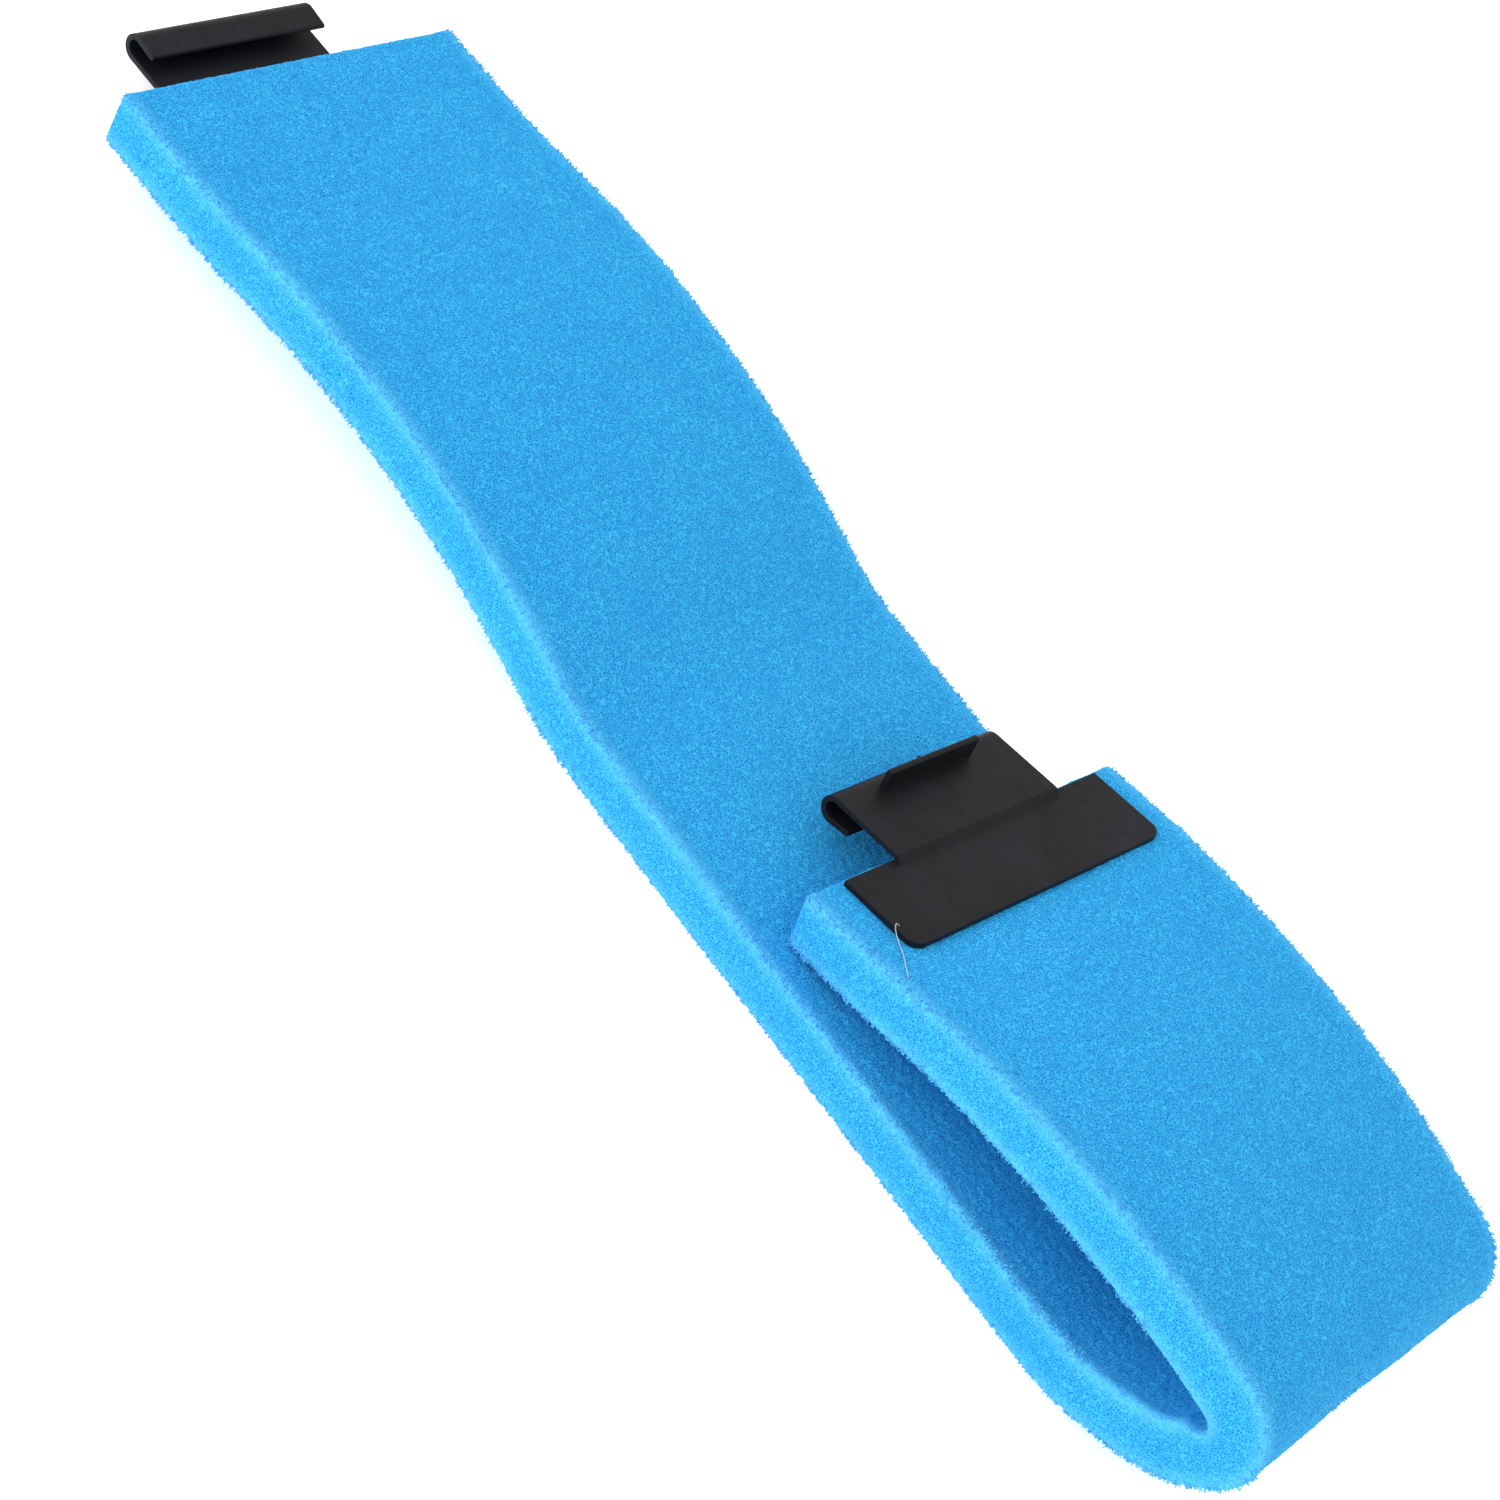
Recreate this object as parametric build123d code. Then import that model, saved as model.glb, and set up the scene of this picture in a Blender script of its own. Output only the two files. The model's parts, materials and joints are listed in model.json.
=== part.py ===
from build123d import *
import math
import os

# A sponge filter band: a long strip of open-cell foam, folded back over itself at one end,
# with a moulded clip glued to each end so that the two ends hook together round a cage.
# +X runs along the band towards the fold, +Y across it, +Z up. The band lies on Z = 0.

# Foam strip
WIDTH = 150.0
THICK = 20.0
SLIT = 0.32                  # gap between neighbouring lengths of foam

# Bent lengths as (length, bend, sideways bend, twist), the angles in degrees.
# A positive bend turns the strip upwards as it leaves the flat part.
TAIL_SPANS = [(32.0, 16.1, -0.3, 0.0)] + 4 * [(42.5, -5.8, -0.3, 0.0)] + [(37.5, 5.7, 0.8, 0.0)]
FLOOR_SPAN = (211.0, 0.0, 0.0, 0.0)
FOLD_START = (28.0, 10.0, -1.2, 0.0)
FOLD_RISE = (38.0, 20.0, -1.2, -2.6)
FOLD_TURN = (7.7, 20.0, -1.2, -2.6)
CREASE = (4.6, 20.0, 0.0, 1.5)
FLAP_ARCH = (113.5, 20.9, 7.2, -4.5)
FLAP_TIP = (43.0, 3.8, -1.4, -2.3)
END_SPAN = (36.0, 0.0, 0.0, 0.0)    # straight under the clip, at both ends

# Glue film between a clip and the foam
GLUE_THICK = 0.4
GLUE_INSET = 2.0

# Clip, measured outwards from the foam's end (u), across the strip (v) and away from the foam (w)
PLATE = 2.0                  # wall thickness of the moulding
TAB_WIDTH = 124.0
TAB_LENGTH = 32.0
TAB_SETBACK = 3.0            # the tab stops this far short of the foam's end
TAB_CORNER = 5.0
WEB_WIDTH = 79.0
WEB_RISE = 2.4               # the web stands this much further out than the tab
RISER_LENGTH = 2.2
REACH = 29.5                 # foam end to hook tip
HOOK_GAP = 6.0
LIP_LENGTH = 13.0            # hook tip to the lip's free edge
LIP_RISE = 0.8               # the lip closes in by this much
BARB_LENGTH = 43.0
BARB_HEIGHT = 8.3
BARB_THICK = 2.2
BARB_SETBACK = 6.6           # hook tip to the barb's outer side
BARB_LEAN = 4.0              # towards the tab, degrees
BARB_ROUND = 0.8
GATE_RADIUS = 0.7            # moulding nub on the hook's tip
GATE_OFFSET = 6.5
FAR_CLIP_SHIFT = (9.0, 2.4, 0.0)    # glued this much off the regular place
NEAR_CLIP_SHIFT = (0.0, -1.5, 0.0)

# Every place along the strip has its X across, its Y up through the foam and its Z along the strip
ACROSS = Plane(origin=(0, 0, THICK / 2), x_dir=(0, 1, 0), z_dir=(1, 0, 0)).location


def walk(place, length, bend=0.0, sway=0.0, twist=0.0, steps=4):
    """Places along a bent length of strip, from the one given. A negative length goes backwards."""
    sign = math.copysign(1.0, length)
    half = Pos(0, 0, length / steps / 2)
    turn = Rot(X=-bend * sign / steps) * Rot(Y=sway * sign / steps) * Rot(Z=twist / steps)
    places = [place]
    for _ in range(steps):
        places.append(places[-1] * half * turn * half)
    return places


def foam(place, spans, way=1):
    """One length of strip along its spans, half a slit short at each end, and the place it ends at."""
    runs = []
    for length, *angles in spans:
        runs.append(walk(place, way * length, *angles))
        place = runs[-1][-1]
    runs[0][0] = runs[0][0] * Pos(0, 0, way * SLIT / 2)
    runs[-1][-1] = place * Pos(0, 0, -way * SLIT / 2)
    pieces = []
    for run, (_, *angles) in zip(runs, spans):
        sections = [at * Rectangle(WIDTH, THICK) for at in run]
        pieces.append(loft(sections if any(angles) else [sections[0], sections[-1]], ruled=not any(angles)))
    return sum(pieces[1:], pieces[0]), place


def clip():
    """The moulding with its foam-end origin at u = 0, on the foam's face at w = 0."""
    middle = GLUE_THICK + PLATE / 2
    web_middle = middle + WEB_RISE
    curl = (HOOK_GAP + PLATE) / 2
    riser_end = -TAB_SETBACK - PLATE / 4
    riser_start = riser_end - RISER_LENGTH
    curl_centre = REACH - curl - PLATE / 2
    lip_end = REACH - LIP_LENGTH
    root = Line((riser_start - PLATE, middle), (riser_start, middle))
    riser = Line(root @ 1, (riser_end, web_middle))
    web = Line(riser @ 1, (curl_centre, web_middle))
    bend = CenterArc((curl_centre, web_middle - curl), curl, 90, -180)
    lip = Line(bend @ 1, (lip_end, web_middle - 2 * curl + LIP_RISE))
    outline = offset(Wire([root, riser, web, bend, lip]), PLATE / 2, kind=Kind.ARC)
    side = Plane(origin=(0, WEB_WIDTH / 2, 0), x_dir=(1, 0, 0), z_dir=(0, -1, 0))
    hook = extrude(side * make_face(outline), WEB_WIDTH)

    tab = Pos(-TAB_SETBACK - TAB_LENGTH / 2, 0, middle) * Box(TAB_LENGTH, TAB_WIDTH, PLATE)
    tab = fillet(tab.edges().filter_by(Axis.Z).group_by(Axis.X)[0], TAB_CORNER)

    tall = BARB_HEIGHT + PLATE / 2
    blade = Pos(0, 0, tall / 2) * Box(BARB_THICK, BARB_LENGTH, tall)
    blade = fillet(blade.edges().group_by(Axis.Z)[-1], BARB_ROUND)
    foot = REACH - BARB_SETBACK - BARB_THICK / 2
    barb = Pos(foot, 0, web_middle) * Rot(Y=-BARB_LEAN) * blade

    nub = Pos(REACH, -GATE_OFFSET, web_middle - curl / 2) * Sphere(GATE_RADIUS)
    return hook + tab + barb + nub


def glue(shift):
    """The film between tab and foam, in the coordinates of a clip shifted this much outwards."""
    inner = GLUE_INSET - TAB_SETBACK - TAB_LENGTH
    outer = min(-TAB_SETBACK, -shift) - GLUE_INSET
    film = Box(outer - inner, TAB_WIDTH - 2 * GLUE_INSET, GLUE_THICK)
    return Pos((inner + outer) / 2, 0, GLUE_THICK / 2) * film


def lay_out():
    """All foam lengths by name, the hinge lines between them, and the two end places."""
    lengths, hinges = {}, []
    tail = [(f"foam_tail_{i}", [span]) for i, span in enumerate(TAIL_SPANS[:-1], 1)]
    tail.append(("foam_far_end", [TAIL_SPANS[-1], END_SPAN]))
    far_end = ACROSS
    for number, (name, spans) in enumerate(tail, 1):
        hinges.append((f"tail_bend_{number}", name, far_end * Pos(0, THICK / 2, 0)))
        lengths[name], far_end = foam(far_end, spans, way=-1)

    fold = [
        ("foam_fold_1", [FOLD_RISE]),
        ("foam_fold_2", [FOLD_TURN, CREASE]),
        ("foam_fold_3", 2 * [CREASE]),
        ("foam_fold_4", 2 * [CREASE]),
        ("foam_flap", [CREASE, FLAP_ARCH]),
        ("foam_near_end", [FLAP_TIP, END_SPAN]),
    ]
    lengths["foam_base"], near_end = foam(ACROSS, [FLOOR_SPAN, FOLD_START])
    for number, (name, spans) in enumerate(fold, 1):
        hinges.append((f"fold_bend_{number}", name, near_end * Pos(0, -THICK / 2, 0)))
        lengths[name], near_end = foam(near_end, spans)
    return lengths, hinges, far_end, near_end


def assemble():
    """Every node by name and every hinge as (name, moving foam, place), on the floor and centred."""
    nodes, hinges, far_end, near_end = lay_out()
    outer_face = Plane(origin=(0, -THICK / 2, 0), x_dir=(0, 0, 1), z_dir=(0, -1, 0)).location
    near, far = near_end * outer_face, far_end * outer_face * Rot(Z=180)
    for end, place, shift in (("near", near, NEAR_CLIP_SHIFT), ("far", far, FAR_CLIP_SHIFT)):
        nodes[f"{end}_clip"] = place * Pos(*shift) * clip()
        nodes[f"{end}_glue"] = place * Pos(*shift) * glue(shift[0])

    box = Compound(children=[Compound([node]) for node in nodes.values()]).bounding_box()
    centre = box.center()
    shift = Pos(-centre.X, -centre.Y, -box.min.Z)
    nodes = {name: shift * node for name, node in nodes.items()}
    return nodes, [(name, child, shift * place) for name, child, place in hinges]


if __name__ == "__main__":
    os.makedirs("parts", exist_ok=True)
    for name, node in assemble()[0].items():
        export_step(node, f"parts/{name}.step")
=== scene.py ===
import json
import math

import bpy
import numpy as np
from mathutils import Matrix, Vector


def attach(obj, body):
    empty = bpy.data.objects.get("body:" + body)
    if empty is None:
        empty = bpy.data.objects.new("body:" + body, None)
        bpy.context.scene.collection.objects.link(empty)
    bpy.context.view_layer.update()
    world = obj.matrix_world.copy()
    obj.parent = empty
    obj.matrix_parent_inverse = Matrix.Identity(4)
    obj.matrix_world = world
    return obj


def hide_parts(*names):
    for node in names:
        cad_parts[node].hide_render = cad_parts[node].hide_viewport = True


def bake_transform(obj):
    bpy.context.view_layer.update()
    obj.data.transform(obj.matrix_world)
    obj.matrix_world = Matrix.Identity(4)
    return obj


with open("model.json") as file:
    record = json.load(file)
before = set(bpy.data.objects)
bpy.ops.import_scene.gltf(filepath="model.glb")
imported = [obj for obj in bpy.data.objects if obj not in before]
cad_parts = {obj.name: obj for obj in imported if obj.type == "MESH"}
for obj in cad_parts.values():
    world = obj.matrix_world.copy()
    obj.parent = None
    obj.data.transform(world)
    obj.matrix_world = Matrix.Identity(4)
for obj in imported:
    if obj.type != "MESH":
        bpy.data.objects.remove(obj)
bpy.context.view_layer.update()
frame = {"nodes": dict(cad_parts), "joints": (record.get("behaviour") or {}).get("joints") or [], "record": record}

joints = {joint["name"]: joint for joint in frame["joints"]}
bodies = frame["record"]["behaviour"]["bodies"]
rng = np.random.default_rng(11)

# A band of open-cell filter foam, folded back at one end, with a moulded clip glued to each end.
# The clips and the glue films are the frame's own nodes. The foam is made here, one piece over each
# hinge. Lengths are in metres and bends in degrees.


def total(spans):
    """The length of some spans."""
    return sum(span[0] for span in spans)


# ---------------------------------------------------------------- sizes
# The strip's spans as (length, bend, sideways bend, twist), from the start of the flat part: backwards
# along the tail, and forwards over the fold to the near end.
WIDTH, THICK = 0.150, 0.020
END_SPAN = (0.036, 0.0, 0.0, 0.0)
CREASE = (0.0046, 20.0, 0.0, 1.5)
TAIL = [
    (0.032, 16.1, -0.3, 0.0),
    *4 * [(0.0425, -5.8, -0.3, 0.0)],
    (0.0375, 5.7, 0.8, 0.0),
    END_SPAN,
]
AHEAD = [
    (0.211, 0.0, 0.0, 0.0),
    (0.028, 10.0, -1.2, 0.0),
    (0.038, 20.0, -1.2, -2.6),
    (0.0077, 20.0, -1.2, -2.6),
    *6 * [CREASE],
    (0.1135, 20.9, 7.2, -4.5),
    (0.043, 3.8, -1.4, -2.3),
    END_SPAN,
]
# Where the hinges are, as numbers of spans walked from the start of the flat part
TAIL_HINGES = [0, 1, 2, 3, 4, 5]
FOLD_HINGES = [2, 3, 5, 7, 9, 11]
SPAN_STEPS = 4

# The tight fold, where the path is evened out, fading in and out over a distance
TIGHT_START = total(AHEAD[:2])
TIGHT_END = total(AHEAD[:10]) + 0.03
TIGHT_FADE = 0.02
EASE = 0.0045
TABLE_STEP = 0.0005

# The foam's surface
GRID = 0.0009                # spacing of the mesh
COLUMNS = round(WIDTH / GRID)
ROWS = round(THICK / GRID)
EDGE_ROUND = 0.0022          # along the strip's long edges
END_ROUND = 0.0028           # at the strip's two ends
FLARE = 0.0007               # the long edges stand this much proud of the faces
FLARE_REACH = 0.004
HIGHLIGHT_REACH = 0.0036           # how far in from an edge the painted highlight goes
CELL_SIZE, CELL_HEIGHT = 0.0014, 0.0005
RIDGE_SIZE, RIDGE_HEIGHT, RIDGE_LEVEL = 0.0023, 0.0003, 0.6
WAVE_SIZE, WAVE_HEIGHT = 0.035, 0.0008
NOISE_CELLS = 32

# Strands, the stub ends of the foam's struts: bent prisms that stand on the surface
STRANDS_PER_AREA = 1.1e5
STRANDS_PER_EDGE = 3200      # for each metre of a long edge
EDGE_DRIFT = 1.3             # how far those on an edge stray from it, in mesh spacings
STRAND_ROOT = 0.0003         # how deep a strand starts
STRAND_SIZE = (0.0006, 0.0012)
STRAND_THICK = (0.00013, 0.00023)
FACE_SHARE = 0.45            # size of those on the faces, against those on the edges
TIGHT_SHARE = 0.3            # size of those on the tight fold's inside, against the others
KNEE_SPREAD, TIP_SPREAD = 0.7, 0.9
ARCHED = 0.8                 # share of strands whose tips turn back down
TIP_DOWN, TIP_OUT = -1.2, 0.3
TIP_SHARE = 0.8              # length beyond the knee, against the length up to it
FATNESS = (1.3, 1.0, 0.8)    # at the root, the knee and the tip
PRISM_ANGLES = (0, 2.094, 4.189)    # radians

# A dried thread of glue: across the strip, out from its outer face, and back from the near end
THREAD = [
    (-0.0588, 0.0026, 0.0255),
    (-0.0602, 0.0042, 0.0248),
    (-0.0618, 0.0030, 0.0264),
    (-0.0630, 0.0012, 0.0300),
    (-0.0652, 0.0010, 0.0345),
    (-0.0686, 0.0013, 0.0385),
    (-0.0712, 0.0009, 0.0425),
]
THREAD_RADIUS = 0.00014

# The camera, placed from the point on the floor under the start of the flat part
CAMERA_OFFSET = Vector((0.22638, -0.67698, 0.65344))
AZIMUTH, ELEVATION, ROLL = math.radians(-16.914), math.radians(42.679), math.radians(40.164)
SENSOR_MM, LENS_MM = 36, 69.516
SHIFT = (-0.0126666667, 0.0076)


# ---------------------------------------------------------------- the band's path
def turned(x_deg, y_deg, z_deg):
    """A turn about Z, then Y, then X."""
    turns = zip((x_deg, y_deg, z_deg), "XYZ")
    rx, ry, rz = (Matrix.Rotation(math.radians(angle), 4, axis) for angle, axis in turns)
    return rx @ ry @ rz


def walk(spans, way):
    """Distances from the start, and places there: X across the strip, Y up through it, Z along it."""
    start = Vector(joints["tail_bend_1"]["pos_m"]) - Vector((0, 0, THICK / 2))
    place = Matrix(((0, 0, 1, start.x), (1, 0, 0, start.y), (0, 1, 0, start.z), (0, 0, 0, 1)))
    distances, places = [0.0], [place]
    for length, bend, sway, twist in spans:
        half = Matrix.Translation((0, 0, way * length / SPAN_STEPS / 2))
        turn = turned(-bend * way / SPAN_STEPS, sway * way / SPAN_STEPS, twist / SPAN_STEPS)
        for _ in range(SPAN_STEPS):
            places.append(places[-1] @ half @ turn @ half)
            distances.append(distances[-1] + way * length / SPAN_STEPS)
    return distances, places


def place_on_stations(distance):
    """The strip's place at a distance, on a curve through the stations."""
    i = int(np.clip(np.searchsorted(stations, distance) - 1, 0, len(stations) - 2))
    gap = stations[i + 1] - stations[i]
    t = (distance - stations[i]) / gap
    a, b = station_places[i], station_places[i + 1]
    along_a, along_b = a.col[2].xyz * gap, b.col[2].xyz * gap
    point = (
        a.translation * (1 + 2 * t) * (1 - t) ** 2
        + along_a * t * (1 - t) ** 2
        + b.translation * t * t * (3 - 2 * t)
        + along_b * t * t * (t - 1)
    )
    turn = a.to_quaternion().slerp(b.to_quaternion(), t)
    return Matrix.Translation(point) @ turn.to_matrix().to_4x4()


def smooth_step(t):
    """0 to 1 as t goes from 0 to 1, level at both ends."""
    t = np.clip(t, 0, 1)
    return t * t * (3 - 2 * t)


def eased_places(distances):
    """The places at even distances, with the tight fold's changes of twist and bend evened out."""
    raw = np.array([place_on_stations(float(distance)) for distance in distances])
    reach = np.arange(-3 * EASE, 3 * EASE + TABLE_STEP, TABLE_STEP)
    kernel = np.exp(-((reach / EASE) ** 2) / 2)
    kernel /= kernel.sum()
    before = len(kernel) // 2
    after = len(kernel) - 1 - before
    extended = np.pad(raw, ((before, after), (0, 0), (0, 0)), "edge")
    eased = np.empty_like(raw)
    for row, column in np.ndindex(4, 4):
        eased[:, row, column] = np.convolve(extended[:, row, column], kernel, "valid")
    fade_in = smooth_step((distances - TIGHT_START) / TIGHT_FADE)
    fade_out = smooth_step((TIGHT_END - distances) / TIGHT_FADE)
    mixed = raw + (eased - raw) * (fade_in * fade_out)[:, None, None]
    along = mixed[:, :3, 2] / np.linalg.norm(mixed[:, :3, 2], axis=1)[:, None]
    up = mixed[:, :3, 1] - along * np.sum(mixed[:, :3, 1] * along, axis=1)[:, None]
    up /= np.linalg.norm(up, axis=1)[:, None]
    mixed[:, :3, 0], mixed[:, :3, 1], mixed[:, :3, 2] = np.cross(up, along), up, along
    return mixed


back, ahead = walk(TAIL, -1), walk(AHEAD, 1)
stations = np.array(back[0][:0:-1] + ahead[0])
station_places = back[1][:0:-1] + ahead[1]
far_end_at, near_end_at = stations[0], stations[-1]
table_at = np.linspace(far_end_at, near_end_at, round((near_end_at - far_end_at) / TABLE_STEP) + 1)
table = eased_places(table_at)


def places_at(distances):
    """The strip's places at an array of distances, as 4 x 4 arrays."""
    spot = np.clip(np.interp(distances, table_at, np.arange(len(table_at))), 0, len(table_at) - 1.001)
    low = spot.astype(int)
    part = (spot - low)[:, None, None]
    return table[low] * (1 - part) + table[low + 1] * part


def place_at(distance):
    """The strip's place at one distance, as a matrix."""
    return Matrix(places_at(np.array([distance]))[0].tolist())


def to_world(strip_points):
    """Strip points (across, up, along) to points in the frame."""
    places = places_at(strip_points[:, 2])
    return np.einsum("nij,nj->ni", places[:, :3, :2], strip_points[:, :2]) + places[:, :3, 3]


# ---------------------------------------------------------------- the foam's skin
NOISE_TABLE = rng.random((NOISE_CELLS, NOISE_CELLS, NOISE_CELLS))


def noise(points, cell, shift):
    """Smooth value noise, 0 to 1, with one value each cell. The shift keeps two noises from matching."""
    q = points / cell + shift
    low = np.floor(q).astype(int)
    f = smooth_step(q - low)
    value = np.zeros(len(points))
    for corner in np.ndindex(2, 2, 2):
        weight = np.prod(np.where(corner, f, 1 - f), axis=1)
        value += weight * NOISE_TABLE[tuple(((low + corner) % NOISE_CELLS).T)]
    return value


def roughness(strip_points):
    """How far the cut cells stand out of the foam's surface."""
    cells = noise(strip_points, CELL_SIZE, 3.1) - 0.5
    ridges = 1 - abs(2 * noise(strip_points, RIDGE_SIZE, 17.7) - 1)
    waves = noise(strip_points, WAVE_SIZE, 9.4) - 0.5
    return CELL_HEIGHT * cells + RIDGE_HEIGHT * (ridges - RIDGE_LEVEL) + WAVE_HEIGHT * waves


def section(i, j):
    """Lattice points of a cut through the strip, as across and up, and their outward directions."""
    across = (i / COLUMNS - 0.5) * WIDTH
    up = (j / ROWS - 0.5) * THICK
    core_a = np.clip(across, -WIDTH / 2 + EDGE_ROUND, WIDTH / 2 - EDGE_ROUND)
    core_u = np.clip(up, -THICK / 2 + EDGE_ROUND, THICK / 2 - EDGE_ROUND)
    off_a, off_u = across - core_a, up - core_u
    reach = np.hypot(off_a, off_u)
    safe_reach = np.maximum(reach, 1e-9)
    share = np.where(reach > 0, np.maximum(abs(off_a), abs(off_u)) / safe_reach, 1)
    near_edge = np.exp(-(((WIDTH / 2 - abs(across)) / FLARE_REACH) ** 2))
    flared = (core_u + off_u * share) * (1 + near_edge * FLARE / (THICK / 2))
    out = np.stack([off_a, off_u], axis=1) / safe_reach[:, None]
    return np.stack([core_a + off_a * share, flared], axis=1), out


def ring():
    """The lattice points round the cut's border, in order."""
    bottom = [(i, 0) for i in range(COLUMNS)]
    right = [(COLUMNS, j) for j in range(ROWS)]
    top = [(i, ROWS) for i in range(COLUMNS, 0, -1)]
    left = [(0, j) for j in range(ROWS, 0, -1)]
    return np.array(bottom + right + top + left)


def rounded(strip_points):
    """Strip points drawn in towards the middle as they near the band's own ends."""
    for end in (far_end_at, near_end_at):
        near = np.clip(END_ROUND - abs(strip_points[:, 2] - end), 0, END_ROUND)
        inset = END_ROUND - np.sqrt(END_ROUND**2 - near**2)
        strip_points[:, :2] *= 1 - 2 * inset[:, None] / (WIDTH, THICK)
    return strip_points


def end_face(border, first_border, first_inner, distance, way):
    """The lattice that closes an end: its inner strip points, their outward directions, and its faces."""
    index = np.full((COLUMNS + 1, ROWS + 1), -1)
    index[border[:, 0], border[:, 1]] = first_border + np.arange(len(border))
    inner_i, inner_j = np.nonzero(index < 0)
    index[inner_i, inner_j] = first_inner + np.arange(len(inner_i))
    flat, _ = section(inner_i.astype(float), inner_j.astype(float))
    points = np.column_stack([flat, np.full(len(flat), distance)])
    out = np.tile([0.0, 0.0, way], (len(flat), 1))
    quads = [index[:-1, :-1], index[1:, :-1], index[1:, 1:], index[:-1, 1:]]
    return points, out, np.stack(quads[::way], axis=-1).reshape(-1, 4)


def skin(start, end):
    """The strip's surface between two distances: strip points before roughness, frame points, faces."""
    border = ring()
    size = len(border)
    cuts = np.linspace(start, end, max(2, round((end - start) / GRID)) + 1)
    flat, flat_out = section(border[:, 0].astype(float), border[:, 1].astype(float))
    strip = np.concatenate([np.column_stack([flat, np.full(size, cut)]) for cut in cuts])
    out = np.tile(np.column_stack([flat_out, np.zeros(size)]), (len(cuts), 1))
    a = np.arange(size * (len(cuts) - 1))
    b = a - a % size + (a + 1) % size
    faces = [np.column_stack([a, b, b + size, a + size])]
    for distance, first_border, way in ((start, 0, -1), (end, len(a), 1)):
        if distance in (far_end_at, near_end_at):
            points, end_out, end_faces = end_face(border, first_border, len(strip), distance, way)
            strip = np.concatenate([strip, points])
            out = np.concatenate([out, end_out])
            faces.append(end_faces)

    rough = rounded(strip + out * roughness(strip)[:, None])
    world = to_world(np.column_stack([rough[:, :2], strip[:, 2]]))
    at_start, at_end = (np.array(place_at(float(distance)).col[2].xyz) for distance in (start, end))
    along = np.where(strip[:, 2:] > (start + end) / 2, at_end, at_start)
    world += along * (rough[:, 2] - strip[:, 2])[:, None]
    return strip, world, np.concatenate(faces)


# ---------------------------------------------------------------- the foam's strands
def strand_feet(start, end):
    """Where the strands stand, as strip points and outward directions, and how many are on the faces."""
    length = end - start
    on_faces = int(length * 2 * (WIDTH + THICK) * STRANDS_PER_AREA)
    on_edges = int(length * 4 * STRANDS_PER_EDGE)
    i = np.concatenate([rng.uniform(0, COLUMNS, on_faces), rng.choice([0.0, COLUMNS], on_edges)])
    j = np.concatenate([rng.choice([0.0, ROWS], on_faces), rng.choice([0.0, ROWS], on_edges)])
    sides = rng.random(on_faces) < THICK / (WIDTH + THICK)
    i[:on_faces][sides] = rng.choice([0.0, COLUMNS], sides.sum())
    j[:on_faces][sides] = rng.uniform(0, ROWS, sides.sum())
    drift = np.abs(rng.normal(0, EDGE_DRIFT, on_edges))
    along_face = rng.random(on_edges) < 0.5
    i[on_faces:] += np.where(along_face, drift, 0) * np.where(i[on_faces:] > 0, -1, 1)
    j[on_faces:] += np.where(along_face, 0, drift) * np.where(j[on_faces:] > 0, -1, 1)
    flat, out = section(i, j)
    feet = np.column_stack([flat, rng.uniform(start, end, len(i))])
    return feet, np.column_stack([out, np.zeros(len(i))]), on_faces


def strands(start, end):
    """The strands between two distances, thickest along the cut edges: strip points and faces."""
    feet, out, on_faces = strand_feet(start, end)
    count = len(feet)
    knee_way = out + rng.normal(0, KNEE_SPREAD, (count, 3))
    arch = rng.random(count)[:, None] < ARCHED
    tip_way = out * np.where(arch, TIP_DOWN, TIP_OUT) + rng.normal(0, TIP_SPREAD, (count, 3))
    knee_way /= np.linalg.norm(knee_way, axis=1)[:, None]
    tip_way /= np.linalg.norm(tip_way, axis=1)[:, None]
    size = rng.uniform(*STRAND_SIZE, count)
    size[:on_faces] *= FACE_SHARE
    inside_fold = (feet[:, 2] > TIGHT_START) & (feet[:, 2] < TIGHT_END) & (feet[:, 1] > 0)
    size[inside_fold] *= TIGHT_SHARE
    size = size[:, None]
    root = feet - out * STRAND_ROOT
    knee = root + knee_way * size + out * STRAND_ROOT
    tip = knee + tip_way * size * TIP_SHARE
    side = np.cross(knee_way, rng.normal(0, 1, (count, 3)))
    side /= np.linalg.norm(side, axis=1)[:, None]
    other = np.cross(knee_way, side)
    thick = rng.uniform(*STRAND_THICK, count)[:, None]

    corners = []
    for centre, fat in zip((root, knee, tip), FATNESS):
        for angle in PRISM_ANGLES:
            corners.append(centre + (side * math.cos(angle) + other * math.sin(angle)) * thick * fat)
    points = np.stack(corners, axis=1)
    points[:, :, 2] = np.clip(points[:, :, 2], start, end)
    walls = [(a + k, a + (k + 1) % 3, a + 3 + (k + 1) % 3, a + 3 + k) for a in (0, 3) for k in range(3)]
    tip_face = (6, 7, 8, 8)
    faces = np.array(walls + [tip_face])[None] + len(corners) * np.arange(count)[:, None, None]
    return points.reshape(-1, 3), faces.reshape(-1, 4)


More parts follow.
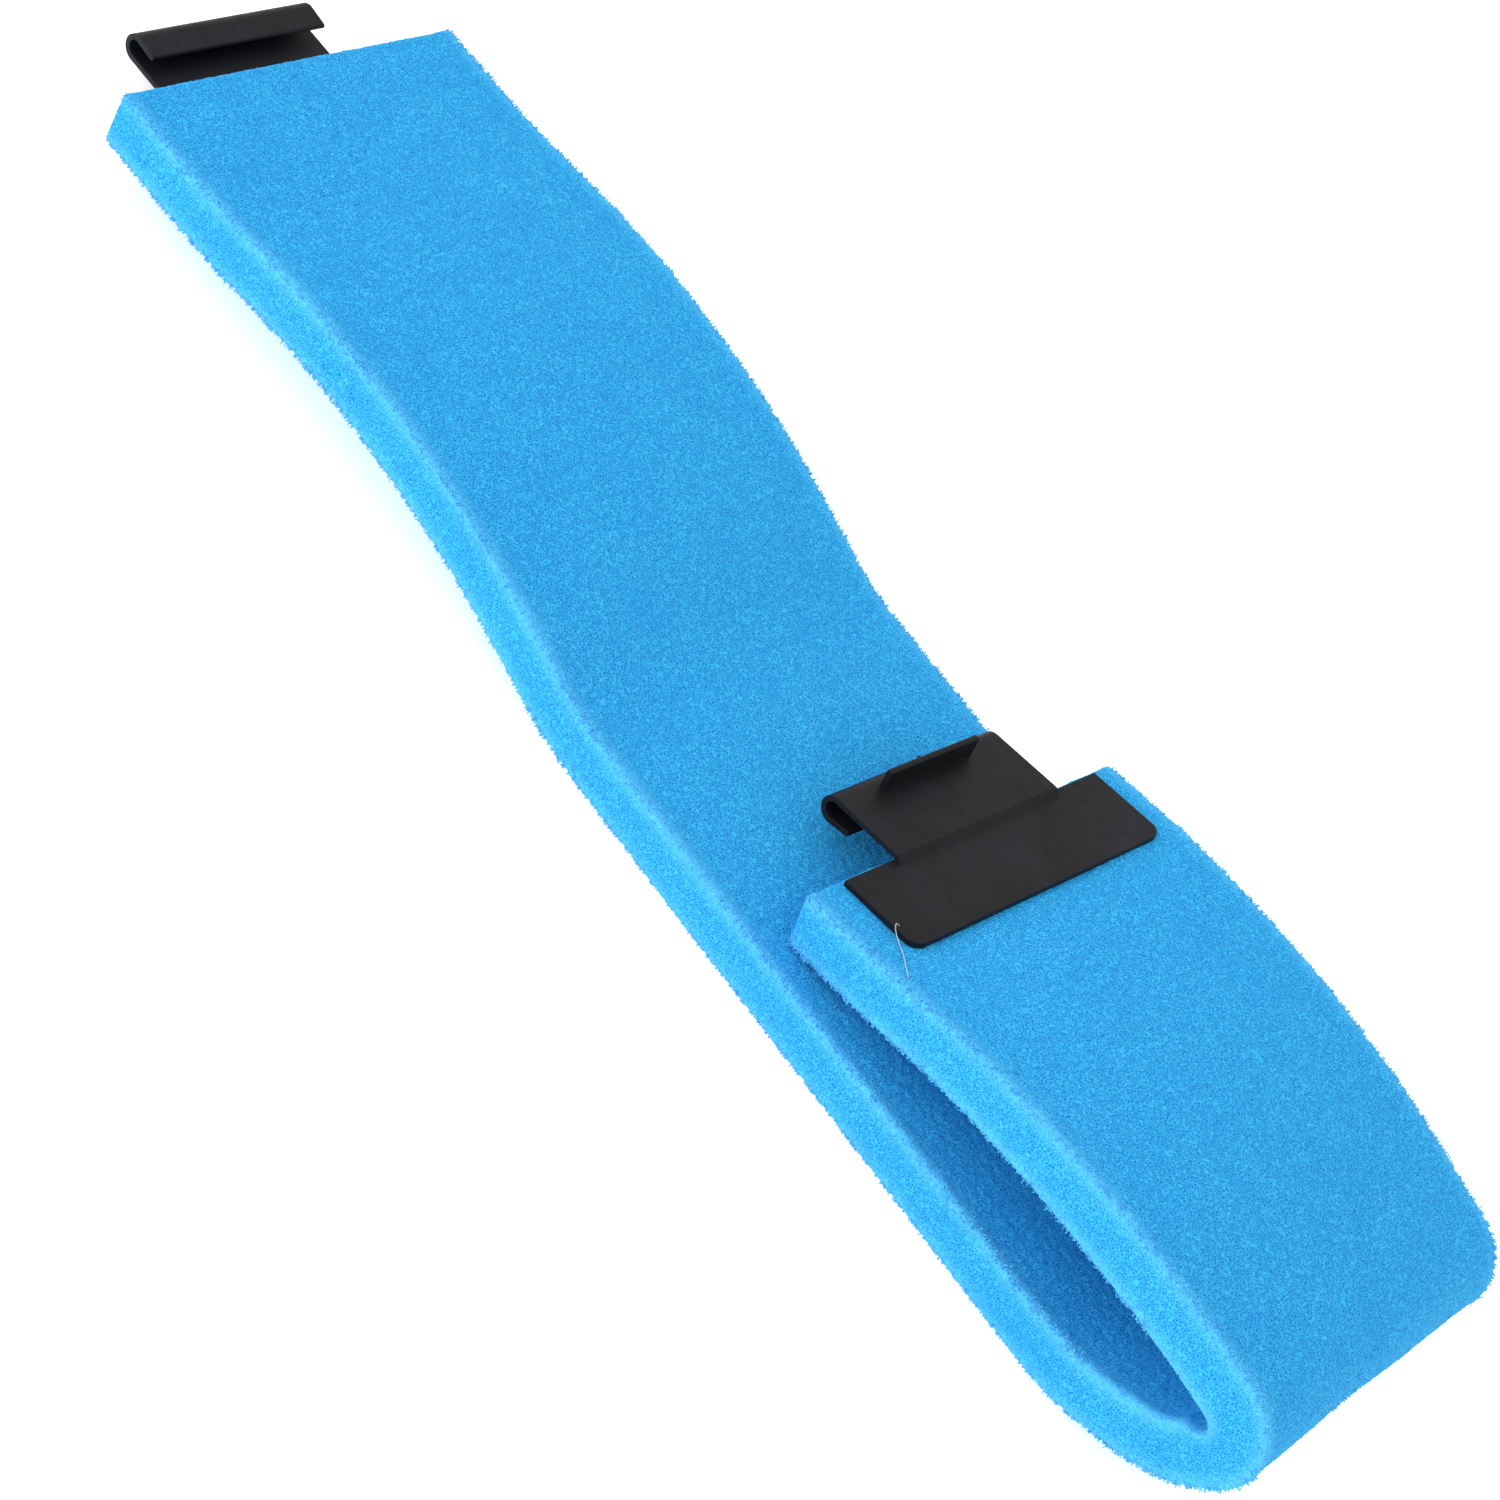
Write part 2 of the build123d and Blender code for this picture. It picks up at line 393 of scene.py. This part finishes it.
def foam_piece(name, start, end):
    """One length of the band, closed at the band's own ends and open where the next length joins it."""
    strip, skin_world, skin_faces = skin(start, end)
    strand_points, strand_faces = strands(start, end)
    strand_points = rounded(strand_points)
    world = np.concatenate([skin_world, to_world(strand_points)])
    world[:, 2] = np.maximum(world[:, 2], 0.0)
    quads = np.concatenate([skin_faces, strand_faces + len(strip)])
    polygons = [quad if quad[2] != quad[3] else quad[:3] for quad in quads.tolist()]
    mesh = bpy.data.meshes.new(name)
    mesh.from_pydata(world.tolist(), [], polygons)

    # Masks for the material: the first is near 1 along the four long edges and the second marks the strands; the
    # material paints both paler, as painted highlight.
    everywhere = np.concatenate([strip, strand_points])
    side_gap = WIDTH / 2 - abs(everywhere[:, 0])
    face_gap = THICK / 2 - abs(everywhere[:, 1])
    rim = np.exp(-((np.maximum(side_gap, face_gap) / HIGHLIGHT_REACH) ** 2))
    stub = np.concatenate([np.zeros(len(strip)), np.ones(len(strand_points))])
    for label, values in (("rim", rim), ("stub", stub)):
        mesh.attributes.new(label, "FLOAT", "POINT").data.foreach_set("value", values.astype(np.float32))
    mesh.polygons.foreach_set("use_smooth", np.arange(len(polygons)) < len(skin_faces))
    piece = bpy.data.objects.new(name, mesh)
    bpy.context.collection.objects.link(piece)
    return piece


# ---------------------------------------------------------------- materials
def new_material(name):
    """A material with its nodes and links."""
    material = bpy.data.materials.new(name)
    material.use_nodes = True
    return material, material.node_tree.nodes, material.node_tree.links


def set_inputs(node, **values):
    """Constants for a node's inputs, each named with _ for a space."""
    for key, value in values.items():
        node.inputs[key.replace("_", " ")].default_value = value


def add(nodes, kind, **values):
    """A shader node with its properties and input values set by name."""
    node = nodes.new(kind)
    for key, value in values.items():
        if key in node.inputs:
            node.inputs[key].default_value = value
        else:
            setattr(node, key, value)
    return node


def mix(nodes, links, factor, first, second):
    """A mix of two colours, each of them a socket or a constant, as the factor is."""
    node = add(nodes, "ShaderNodeMix", data_type="RGBA")
    for socket, value in ((node.inputs[0], factor), (node.inputs[6], first), (node.inputs[7], second)):
        if isinstance(value, bpy.types.NodeSocket):
            links.new(value, socket)
        else:
            socket.default_value = value
    return node.outputs[2]


def ramp(nodes, links, source, low, high):
    """A source socket mapped so that low gives 0 and high gives 1."""
    node = add(nodes, "ShaderNodeMapRange")
    set_inputs(node, From_Min=low, From_Max=high)
    links.new(source, node.inputs["Value"])
    return node.outputs["Result"]


def foam_material():
    """Blue open-cell foam: a net of pale struts over cells darkened with painted shade in the pores, with painted
    glints on the struts and painted highlight along the long cut edges and on the strands.
    """
    material, nodes, links = new_material("open_cell_foam")
    shader = nodes["Principled BSDF"]
    set_inputs(shader, Roughness=0.9, Specular_IOR_Level=0.12)
    set_inputs(shader, Sheen_Weight=0.1, Sheen_Roughness=0.5, Sheen_Tint=(0.2, 0.7, 1.0, 1.0))
    where = add(nodes, "ShaderNodeTexCoord").outputs["Object"]
    cells = add(nodes, "ShaderNodeTexVoronoi", feature="DISTANCE_TO_EDGE", Scale=1050.0)
    big_cells = add(nodes, "ShaderNodeTexVoronoi", feature="F1", Scale=620.0)
    mottle = add(nodes, "ShaderNodeTexNoise", Scale=55.0, Detail=3.0)
    grain = add(nodes, "ShaderNodeTexNoise", Scale=900.0, Detail=2.0)
    for node in (cells, big_cells, mottle, grain):
        links.new(where, node.inputs["Vector"])
    struts = ramp(nodes, links, cells.outputs["Distance"], 0.20, 0.03)
    big_walls = ramp(nodes, links, big_cells.outputs["Distance"], 0.1, 0.7)

    # The net of struts is the foam's own pattern; the darker blue of the cells between them is painted shade in
    # the open pores.
    colour = mix(nodes, links, struts, (0.008, 0.200, 0.560, 1), (0.050, 0.520, 0.900, 1))
    # Painted shade: darker towards the middle of the larger cells, where the surface dips.
    pore_shade = ramp(nodes, links, big_walls, 1.0, -1.4)
    colour = mix(nodes, links, pore_shade, colour, (0.008, 0.190, 0.520, 1))
    # Painted glints: scattered lighter specks standing for light caught on the struts.
    strut_glints = ramp(nodes, links, grain.outputs["Fac"], 0.58, 0.90)
    colour = mix(nodes, links, strut_glints, colour, (0.060, 0.560, 0.960, 1))
    wide = ramp(nodes, links, mottle.outputs["Fac"], 0.3, 2.0)
    colour = mix(nodes, links, wide, colour, (0.010, 0.260, 0.640, 1))
    # Painted highlight: paler blue along the long edges and on the strands, standing in for light through the thin
    # foam there.
    for label, high, pale in (
        ("rim", 2.7, (0.160, 0.640, 0.980, 1)),
        ("stub", 3.0, (0.140, 0.600, 0.980, 1)),
    ):
        share = add(nodes, "ShaderNodeAttribute", attribute_name=label).outputs["Fac"]
        colour = mix(nodes, links, ramp(nodes, links, share, 0.0, high), colour, pale)
    links.new(colour, shader.inputs["Base Color"])

    height = add(nodes, "ShaderNodeMath", operation="ADD")
    links.new(struts, height.inputs[0])
    links.new(big_walls, height.inputs[1])
    bump = add(nodes, "ShaderNodeBump", Strength=0.45, Distance=0.0002)
    links.new(height.outputs[0], bump.inputs["Height"])
    links.new(bump.outputs["Normal"], shader.inputs["Normal"])
    return material


def clip_material():
    """Satin black moulded plastic, with faint flow streaks, fine grain and softened edges."""
    material, nodes, links = new_material("moulded_black_plastic")
    shader = nodes["Principled BSDF"]
    set_inputs(shader, Specular_IOR_Level=0.17)
    where = add(nodes, "ShaderNodeTexCoord").outputs["Object"]
    grain = add(nodes, "ShaderNodeTexNoise", Scale=1600.0, Detail=3.0)
    cloud = add(nodes, "ShaderNodeTexNoise", Scale=45.0, Detail=4.0)
    streak_space = add(nodes, "ShaderNodeMapping", Scale=(30.0, 300.0, 300.0))
    streak = add(nodes, "ShaderNodeTexNoise", Scale=1.5, Detail=3.0)
    for node in (grain, cloud, streak_space):
        links.new(where, node.inputs["Vector"])
    links.new(streak_space.outputs["Vector"], streak.inputs["Vector"])
    dust = ramp(nodes, links, cloud.outputs["Fac"], 0.35, 0.85)
    colour = mix(nodes, links, dust, (0.005, 0.005, 0.007, 1), (0.0105, 0.0112, 0.0155, 1))
    links.new(colour, shader.inputs["Base Color"])
    rough = ramp(nodes, links, streak.outputs["Fac"], -1.4, 2.2)
    links.new(rough, shader.inputs["Roughness"])
    edges = add(nodes, "ShaderNodeBevel", samples=6, Radius=0.0004)
    bump = add(nodes, "ShaderNodeBump", Strength=0.18, Distance=0.00005)
    links.new(grain.outputs["Fac"], bump.inputs["Height"])
    links.new(edges.outputs["Normal"], bump.inputs["Normal"])
    links.new(bump.outputs["Normal"], shader.inputs["Normal"])
    return material


def glue_material():
    """Clear set glue, a little cloudy."""
    material, nodes, links = new_material("clear_glue")
    shader = nodes["Principled BSDF"]
    set_inputs(shader, Roughness=0.25, Transmission_Weight=0.5)
    where = add(nodes, "ShaderNodeTexCoord").outputs["Object"]
    cloud = add(nodes, "ShaderNodeTexNoise", Scale=300.0, Detail=3.0)
    links.new(where, cloud.inputs["Vector"])
    colour = mix(nodes, links, cloud.outputs["Fac"], (0.62, 0.72, 0.74, 1), (0.90, 0.92, 0.90, 1))
    links.new(colour, shader.inputs["Base Color"])
    return material


def paint(obj, material):
    """One material over the whole object."""
    obj.data.materials.clear()
    obj.data.materials.append(material)


foam_look, clip_look, glue_look = foam_material(), clip_material(), glue_material()
for name, node in frame["nodes"].items():
    if name.endswith("clip"):
        paint(node, clip_look)
    if name.endswith("glue"):
        paint(node, glue_look)


tail_chain = [(f"tail_bend_{n}", -total(TAIL[:at])) for n, at in enumerate(TAIL_HINGES, 1)]
fold_chain = [(f"fold_bend_{n}", total(AHEAD[:at])) for n, at in enumerate(FOLD_HINGES, 1)]
chain = tail_chain[::-1] + fold_chain
hinge_at = [distance for _, distance in chain]
cuts = [far_end_at, *[(a + b) / 2 for a, b in zip(hinge_at, hinge_at[1:])], near_end_at]
for number, (name, distance) in enumerate(chain):
    start, end = cuts[number], cuts[number + 1]
    piece = foam_piece(f"foam_band_{number + 1}", start, end)
    paint(piece, foam_look)
    joint = joints[name]
    replaced = [node for node in bodies[joint["child"]] if node.startswith("foam")]
    if name == "tail_bend_1":
        replaced += bodies["base"]
    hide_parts(*replaced)
    if name.startswith("tail"):
        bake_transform(piece)
    else:
        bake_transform(piece)


# ---------------------------------------------------------------- a dried thread of glue beside the near tab
def glue_thread():
    """A thin round thread along its points, as a smooth curve."""
    curve = bpy.data.curves.new("glue_thread", "CURVE")
    curve.dimensions = "3D"
    curve.bevel_depth = THREAD_RADIUS
    curve.use_fill_caps = True
    spline = curve.splines.new("NURBS")
    spline.points.add(len(THREAD) - 1)
    for point, (across, out, back_from_end) in zip(spline.points, THREAD):
        place = place_at(near_end_at - back_from_end)
        point.co = (*(place @ Vector((across, -THICK / 2 - out, 0))), 1)
    spline.order_u = 3
    spline.use_endpoint_u = True
    obj = bpy.data.objects.new("glue_thread", curve)
    bpy.context.collection.objects.link(obj)
    return obj


thread = glue_thread()
paint(thread, glue_look)
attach(thread, "near_end")


# ---------------------------------------------------------------- floor, light, camera
def pale_floor(reach):
    """A matt white floor that glows a little, so that it stays white round the shadows."""
    mesh = bpy.data.meshes.new("floor")
    corners = [(-reach, -reach, 0), (reach, -reach, 0), (reach, reach, 0), (-reach, reach, 0)]
    mesh.from_pydata(corners, [], [(0, 1, 2, 3)])
    obj = bpy.data.objects.new("floor", mesh)
    bpy.context.collection.objects.link(obj)
    material, nodes, _ = new_material("pale_floor")
    shader = nodes["Principled BSDF"]
    set_inputs(shader, Base_Color=(0.93, 0.93, 0.93, 1), Roughness=0.9, Specular_IOR_Level=0.1)
    set_inputs(shader, Emission_Color=(1, 1, 1, 1), Emission_Strength=0.45)
    paint(obj, material)
    return obj


def white_world(strength):
    """Even white light from all round, shown without a film look."""
    world = bpy.data.worlds.new("studio")
    world.use_nodes = True
    set_inputs(world.node_tree.nodes["Background"], Color=(1, 1, 1, 1), Strength=strength)
    bpy.context.scene.world = world
    bpy.context.scene.view_settings.view_transform = "Standard"


def area_light(name, location, target, size, power):
    """A square light of a size and power, turned towards its target."""
    data = bpy.data.lights.new(name, "AREA")
    data.size, data.energy = size, power
    light = bpy.data.objects.new(name, data)
    light.location = location
    light.rotation_euler = (Vector(target) - Vector(location)).to_track_quat("-Z", "Y").to_euler()
    bpy.context.collection.objects.link(light)


def camera_at(location):
    """A camera looking down by the elevation, off +Y by the azimuth, rolled about its line of view."""
    look = Vector((
        math.sin(AZIMUTH) * math.cos(ELEVATION),
        math.cos(AZIMUTH) * math.cos(ELEVATION),
        -math.sin(ELEVATION),
    ))
    level = Vector((math.cos(AZIMUTH), -math.sin(AZIMUTH), 0))
    upright = level.cross(look)
    right = level * math.cos(ROLL) + upright * math.sin(ROLL)
    up = upright * math.cos(ROLL) - level * math.sin(ROLL)
    lens = bpy.data.cameras.new("camera")
    lens.sensor_width, lens.lens = SENSOR_MM, LENS_MM
    lens.shift_x, lens.shift_y = SHIFT
    lens.clip_start, lens.clip_end = 0.05, 30
    obj = bpy.data.objects.new("camera", lens)
    obj.matrix_world = Matrix.Translation(location) @ Matrix((right, up, -look)).transposed().to_4x4()
    bpy.context.collection.objects.link(obj)
    return obj


floor = pale_floor(6.0)
white_world(1.05)
area_light("key", (-0.7, -1.8, 0.9), (0, 0, 0.02), 1.6, 20)
flat_start = Vector((*joints["tail_bend_1"]["pos_m"][:2], 0))
bpy.context.scene.camera = camera_at(flat_start + CAMERA_OFFSET)
